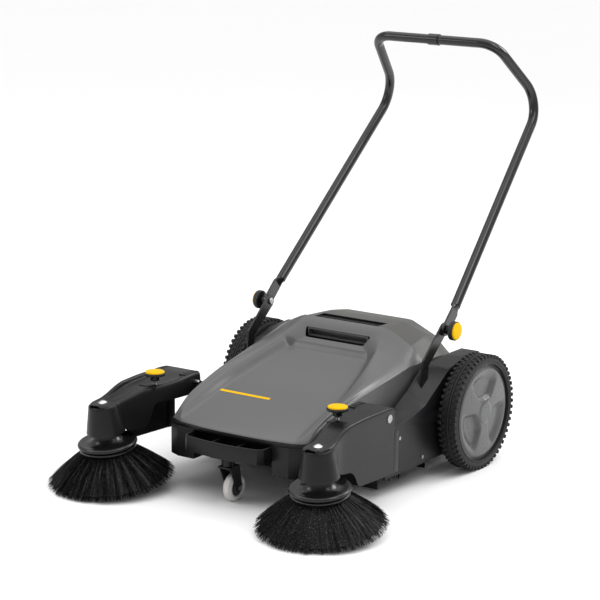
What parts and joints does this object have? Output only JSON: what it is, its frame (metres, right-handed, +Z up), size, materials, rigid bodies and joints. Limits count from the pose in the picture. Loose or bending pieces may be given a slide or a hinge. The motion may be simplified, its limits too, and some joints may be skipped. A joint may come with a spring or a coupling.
{
  "type": "walk behind sweeper",
  "caption": "Push sweeper with a belt-driven roller brush, two lifting side brushes, rear waste container and a folding tube handle.",
  "frame": {"origin": "on the floor under the wheel axle, midway between the wheels", "axes": "+X to the machine's left-hand-side wheel as seen from the front, -Y is forward (side brushes), +Z up"},
  "size_m": [0.9318, 1.27, 1.041],
  "materials": {
    "hood_grey": "satin",
    "hub_grey": "satin",
    "container_grey": "satin",
    "frame_black": "satin",
    "rubber_black": "matte",
    "tyre_black": "matte",
    "knob_black": "gloss",
    "knob_yellow": "gloss",
    "pulley_plastic": "satin",
    "bristle_black": "bristle",
    "zinc_steel": "satin",
    "chrome_cap": "polished",
    "handle_black": "gloss powder coat",
    "caster_white": "matte"
  },
  "bodies": {
    "chassis": {"side_frame_left": "frame_black", "side_frame_right": "frame_black", "front_bumper": "frame_black", "brush_tunnel": "frame_black", "hood": "hood_grey", "hood_grip_liner": "frame_black", "rubber_skirts": "rubber_black", "stub_axles": "zinc_steel", "drive_belts": "rubber_black", "handle_brackets": "handle_black", "caster_plate": "zinc_steel", "roller_bearings": "zinc_steel", "frame_screws": "zinc_steel"},
    "container": {"container_tub": "container_grey", "container_grip": "frame_black"},
    "handle": {"handle_tube_left": "handle_black", "handle_tube_right": "handle_black", "handle_sleeve": "frame_black", "handle_bolts": "zinc_steel"},
    "roller": {"roller_shaft": "zinc_steel", "roller_core": "frame_black", "roller_bristles": "bristle_black"},
    "caster_swivel": {"caster_fork": "zinc_steel", "caster_axle": "zinc_steel"},
    "caster_wheel": {"caster_hub": "pulley_plastic", "caster_tyre": "caster_white"},
    "handle_knob_right": {"handle_knob_right": "knob_black", "handle_knob_cap_right": "knob_yellow"},
    "arm_right": {"arm_cover_right": "frame_black", "side_belt_right": "rubber_black", "hinge_bolt_right": "zinc_steel"},
    "arm_knob_right": {"arm_knob_right": "knob_black", "arm_knob_cap_right": "knob_yellow"},
    "side_brush_right": {"spindle_right": "chrome_cap", "spindle_pulley_right": "pulley_plastic", "brush_disc_right": "knob_black", "brush_bristles_right": "bristle_black"},
    "wheel_right": {"tyre_right": "tyre_black", "wheel_rim_right": "frame_black", "hub_cap_right": "hub_grey", "wheel_bush_right": "pulley_plastic"},
    "drive_pulley_right": {"drive_pulley_right": "pulley_plastic"},
    "hinge_pulley_right": {"hinge_pulley_right": "pulley_plastic"},
    "handle_knob_left": {"handle_knob_left": "knob_black", "handle_knob_cap_left": "knob_yellow"},
    "arm_left": {"arm_cover_left": "frame_black", "side_belt_left": "rubber_black", "hinge_bolt_left": "zinc_steel"},
    "arm_knob_left": {"arm_knob_left": "knob_black", "arm_knob_cap_left": "knob_yellow"},
    "side_brush_left": {"spindle_left": "chrome_cap", "spindle_pulley_left": "pulley_plastic", "brush_disc_left": "knob_black", "brush_bristles_left": "bristle_black"},
    "wheel_left": {"tyre_left": "tyre_black", "wheel_rim_left": "frame_black", "hub_cap_left": "hub_grey", "wheel_bush_left": "pulley_plastic"},
    "drive_pulley_left": {"drive_pulley_left": "pulley_plastic"},
    "hinge_pulley_left": {"hinge_pulley_left": "pulley_plastic"}
  },
  "joints": [
    {"name": "handle_fold", "type": "hinge", "parent": "chassis", "child": "handle", "pos_m": [0, -0.058, 0.358], "axis": [1, 0, 0], "range_deg": [0, 130]},
    {"name": "container_slide", "type": "slide", "parent": "chassis", "child": "container", "axis": [0, 1, 0], "range_m": [0, 0.35]},
    {"name": "roller_spin", "type": "hinge", "parent": "chassis", "child": "roller", "pos_m": [0, -0.215, 0.082], "axis": [1, 0, 0], "continuous": true},
    {"name": "caster_turn", "type": "hinge", "parent": "chassis", "child": "caster_swivel", "pos_m": [0, -0.598, 0.1], "axis": [0, 0, 1], "continuous": true},
    {"name": "caster_roll", "type": "hinge", "parent": "caster_swivel", "child": "caster_wheel", "pos_m": [0, -0.574, 0.034], "axis": [1, 0, 0], "continuous": true},
    {"name": "wheel_right_spin", "type": "hinge", "parent": "chassis", "child": "wheel_right", "pos_m": [0.33, 0, 0.146], "axis": [1, 0, 0], "continuous": true},
    {"name": "drive_pulley_right_spin", "type": "hinge", "parent": "chassis", "child": "drive_pulley_right", "pos_m": [0.27, -0.215, 0.082], "axis": [1, 0, 0], "continuous": true},
    {"name": "hinge_pulley_right_spin", "type": "hinge", "parent": "chassis", "child": "hinge_pulley_right", "pos_m": [0.28, -0.42, 0.223], "axis": [1, 0, 0], "continuous": true},
    {"name": "arm_right_lift", "type": "hinge", "parent": "chassis", "child": "arm_right", "pos_m": [0.276, -0.42, 0.223], "axis": [-1, 0, 0], "range_deg": [0, 12]},
    {"name": "side_brush_right_spin", "type": "hinge", "parent": "arm_right", "child": "side_brush_right", "pos_m": [0.308, -0.657, 0.02046], "axis": [0.0254, -0.127, 0.9916], "continuous": true},
    {"name": "arm_knob_right_turn", "type": "hinge", "parent": "arm_right", "child": "arm_knob_right", "pos_m": [0.268, -0.536, 0.26], "axis": [0, 0, 1], "range_deg": [0, 1440]},
    {"name": "handle_knob_right_turn", "type": "hinge", "parent": "handle", "child": "handle_knob_right", "pos_m": [0.29, -0.058, 0.358], "axis": [1, 0, 0], "range_deg": [0, 720]},
    {"name": "wheel_left_spin", "type": "hinge", "parent": "chassis", "child": "wheel_left", "pos_m": [-0.33, 0, 0.146], "axis": [1, 0, 0], "continuous": true},
    {"name": "drive_pulley_left_spin", "type": "hinge", "parent": "chassis", "child": "drive_pulley_left", "pos_m": [-0.27, -0.215, 0.082], "axis": [1, 0, 0], "continuous": true},
    {"name": "hinge_pulley_left_spin", "type": "hinge", "parent": "chassis", "child": "hinge_pulley_left", "pos_m": [-0.28, -0.42, 0.223], "axis": [1, 0, 0], "continuous": true},
    {"name": "arm_left_lift", "type": "hinge", "parent": "chassis", "child": "arm_left", "pos_m": [-0.276, -0.42, 0.223], "axis": [-1, 0, 0], "range_deg": [0, 12]},
    {"name": "side_brush_left_spin", "type": "hinge", "parent": "arm_left", "child": "side_brush_left", "pos_m": [-0.308, -0.657, 0.02046], "axis": [-0.0254, -0.127, 0.9916], "continuous": true},
    {"name": "arm_knob_left_turn", "type": "hinge", "parent": "arm_left", "child": "arm_knob_left", "pos_m": [-0.268, -0.536, 0.26], "axis": [0, 0, 1], "range_deg": [0, 1440]},
    {"name": "handle_knob_left_turn", "type": "hinge", "parent": "handle", "child": "handle_knob_left", "pos_m": [-0.29, -0.058, 0.358], "axis": [-1, 0, 0], "range_deg": [0, 720]}
  ],
  "couplings": [
    {"joint": "roller_spin", "follows": "wheel_left_spin", "ratio": 2},
    {"joint": "drive_pulley_right_spin", "follows": "wheel_right_spin", "ratio": 2},
    {"joint": "hinge_pulley_right_spin", "follows": "wheel_right_spin", "ratio": 2},
    {"joint": "side_brush_right_spin", "follows": "wheel_right_spin", "ratio": -1.5},
    {"joint": "arm_knob_right_turn", "follows": "arm_right_lift", "ratio": 120},
    {"joint": "drive_pulley_left_spin", "follows": "wheel_left_spin", "ratio": 2},
    {"joint": "hinge_pulley_left_spin", "follows": "wheel_left_spin", "ratio": 2},
    {"joint": "side_brush_left_spin", "follows": "wheel_left_spin", "ratio": 1.5},
    {"joint": "arm_knob_left_turn", "follows": "arm_left_lift", "ratio": 120}
  ]
}
